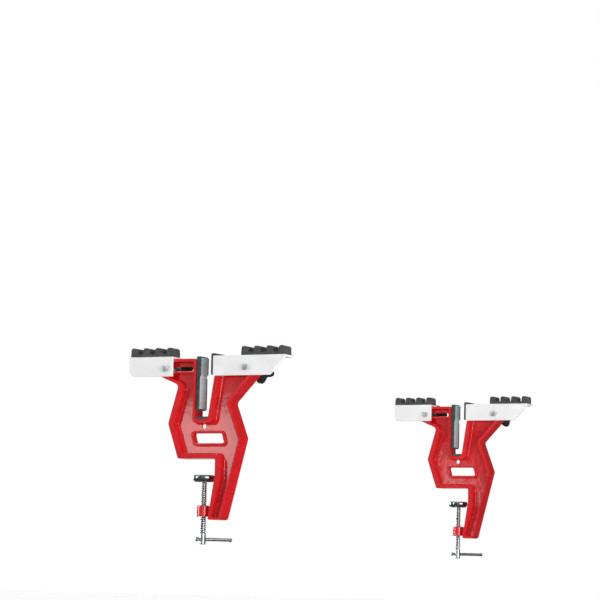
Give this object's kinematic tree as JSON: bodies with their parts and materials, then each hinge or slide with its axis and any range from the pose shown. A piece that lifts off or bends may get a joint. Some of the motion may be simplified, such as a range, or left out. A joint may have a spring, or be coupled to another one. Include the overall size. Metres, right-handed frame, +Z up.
{
  "type": "snowboard vise",
  "caption": "Bench-clamp vise set with padded adjustable arms for a snowboard and a padded slot that grips a ski on edge.",
  "frame": {"origin": "on the near vise's screw axis, at the height of the bench top it stands on", "axes": "+X from the bench side across a vise, +Y from the near vise to the far vise, +Z up"},
  "size_m": [0.288, 1.139, 0.321],
  "materials": {
    "red_enamel": "glossy red enamel on a casting",
    "white_enamel": "white powder coat",
    "black_rubber": "smooth black rubber",
    "grey_rubber": "grey friction rubber",
    "black_plastic": "moulded black plastic",
    "zinc_plate": "bright zinc plate",
    "dark_chrome": "dark bright plating"
  },
  "bodies": {
    "frames": {"near_frame": "red_enamel", "near_slot_liner": "black_rubber", "near_jaw_backing": "black_rubber", "near_jaw_pad": "grey_rubber", "far_frame": "red_enamel", "far_slot_liner": "black_rubber", "far_jaw_backing": "black_rubber", "far_jaw_pad": "grey_rubber"},
    "near_short_arm_body": {"near_short_arm": "white_enamel", "near_short_arm_pad": "black_rubber", "near_short_arm_bolt": "zinc_plate", "near_short_arm_web_washer": "zinc_plate", "near_short_arm_sleeve": "zinc_plate", "near_short_arm_knob_washer": "zinc_plate"},
    "near_short_arm_knob_body": {"near_short_arm_knob": "black_plastic", "near_short_arm_knob_nut": "zinc_plate"},
    "near_long_arm_body": {"near_long_arm": "white_enamel", "near_long_arm_pad": "black_rubber", "near_long_arm_nose": "black_rubber", "near_long_arm_bolt": "zinc_plate", "near_long_arm_web_washer": "zinc_plate", "near_long_arm_sleeve": "zinc_plate", "near_long_arm_knob_washer": "zinc_plate"},
    "near_long_arm_knob_body": {"near_long_arm_knob": "black_plastic", "near_long_arm_knob_nut": "zinc_plate"},
    "near_clamp_carrier": {"near_screw_ball": "zinc_plate"},
    "near_clamp_screw_body": {"near_clamp_screw": "zinc_plate"},
    "near_clamp_foot_body": {"near_clamp_foot": "dark_chrome"},
    "near_tommy_bar_body": {"near_tommy_bar": "zinc_plate"},
    "far_short_arm_body": {"far_short_arm": "white_enamel", "far_short_arm_pad": "black_rubber", "far_short_arm_bolt": "zinc_plate", "far_short_arm_web_washer": "zinc_plate", "far_short_arm_sleeve": "zinc_plate", "far_short_arm_knob_washer": "zinc_plate"},
    "far_short_arm_knob_body": {"far_short_arm_knob": "black_plastic", "far_short_arm_knob_nut": "zinc_plate"},
    "far_long_arm_body": {"far_long_arm": "white_enamel", "far_long_arm_pad": "black_rubber", "far_long_arm_nose": "black_rubber", "far_long_arm_bolt": "zinc_plate", "far_long_arm_web_washer": "zinc_plate", "far_long_arm_sleeve": "zinc_plate", "far_long_arm_knob_washer": "zinc_plate"},
    "far_long_arm_knob_body": {"far_long_arm_knob": "black_plastic", "far_long_arm_knob_nut": "zinc_plate"},
    "far_clamp_carrier": {"far_screw_ball": "zinc_plate"},
    "far_clamp_screw_body": {"far_clamp_screw": "zinc_plate"},
    "far_clamp_foot_body": {"far_clamp_foot": "dark_chrome"},
    "far_tommy_bar_body": {"far_tommy_bar": "zinc_plate"}
  },
  "joints": [
    {"name": "near_short_arm_slide", "type": "slide", "parent": "frames", "child": "near_short_arm_body", "axis": [1, 0, 0], "range_m": [-0.001, 0.037]},
    {"name": "near_short_arm_knob_turn", "type": "hinge", "parent": "near_short_arm_body", "child": "near_short_arm_knob_body", "pos_m": [-0.0664, 0.0234, 0.1476], "axis": [0, 1, 0], "continuous": true},
    {"name": "near_long_arm_slide", "type": "slide", "parent": "frames", "child": "near_long_arm_body", "axis": [1, 0, 0], "range_m": [-0.021, 0]},
    {"name": "near_long_arm_knob_turn", "type": "hinge", "parent": "near_long_arm_body", "child": "near_long_arm_knob_body", "pos_m": [0.0812, 0.0234, 0.1476], "axis": [0, 1, 0], "continuous": true},
    {"name": "near_clamp_travel", "type": "slide", "parent": "frames", "child": "near_clamp_carrier", "axis": [0, 0, 1], "range_m": [-0.035, 0.024]},
    {"name": "near_screw_turn", "type": "hinge", "parent": "near_clamp_carrier", "child": "near_clamp_screw_body", "pos_m": [0, 0, -0.033], "axis": [0, 0, 1], "range_deg": [-4205, 2885]},
    {"name": "near_foot_tilt", "type": "hinge", "parent": "near_clamp_carrier", "child": "near_clamp_foot_body", "pos_m": [0, 0, -0.033], "axis": [0, 1, 0], "range_deg": [-6, 6]},
    {"name": "near_tommy_bar_slide", "type": "slide", "parent": "near_clamp_screw_body", "child": "near_tommy_bar_body", "axis": [0.6947, 0.7193, 0], "range_m": [-0.0405, 0.0025]},
    {"name": "far_short_arm_slide", "type": "slide", "parent": "frames", "child": "far_short_arm_body", "axis": [1, 0, 0], "range_m": [-0.001, 0.037]},
    {"name": "far_short_arm_knob_turn", "type": "hinge", "parent": "far_short_arm_body", "child": "far_short_arm_knob_body", "pos_m": [-0.0664, 1.0934, 0.1476], "axis": [0, 1, 0], "continuous": true},
    {"name": "far_long_arm_slide", "type": "slide", "parent": "frames", "child": "far_long_arm_body", "axis": [1, 0, 0], "range_m": [-0.021, 0]},
    {"name": "far_long_arm_knob_turn", "type": "hinge", "parent": "far_long_arm_body", "child": "far_long_arm_knob_body", "pos_m": [0.0812, 1.0934, 0.1476], "axis": [0, 1, 0], "continuous": true},
    {"name": "far_clamp_travel", "type": "slide", "parent": "frames", "child": "far_clamp_carrier", "axis": [0, 0, 1], "range_m": [-0.035, 0.024]},
    {"name": "far_screw_turn", "type": "hinge", "parent": "far_clamp_carrier", "child": "far_clamp_screw_body", "pos_m": [0, 1.07, -0.033], "axis": [0, 0, 1], "range_deg": [-4205, 2885]},
    {"name": "far_foot_tilt", "type": "hinge", "parent": "far_clamp_carrier", "child": "far_clamp_foot_body", "pos_m": [0, 1.07, -0.033], "axis": [0, 1, 0], "range_deg": [-6, 6]},
    {"name": "far_tommy_bar_slide", "type": "slide", "parent": "far_clamp_screw_body", "child": "far_tommy_bar_body", "axis": [0.8746, 0.4848, 0], "range_m": [-0.0405, 0.0025]}
  ],
  "couplings": [
    {"joint": "near_screw_turn", "follows": "near_clamp_travel", "rad_per_m": 2094.4},
    {"joint": "far_screw_turn", "follows": "far_clamp_travel", "rad_per_m": 2094.4}
  ]
}
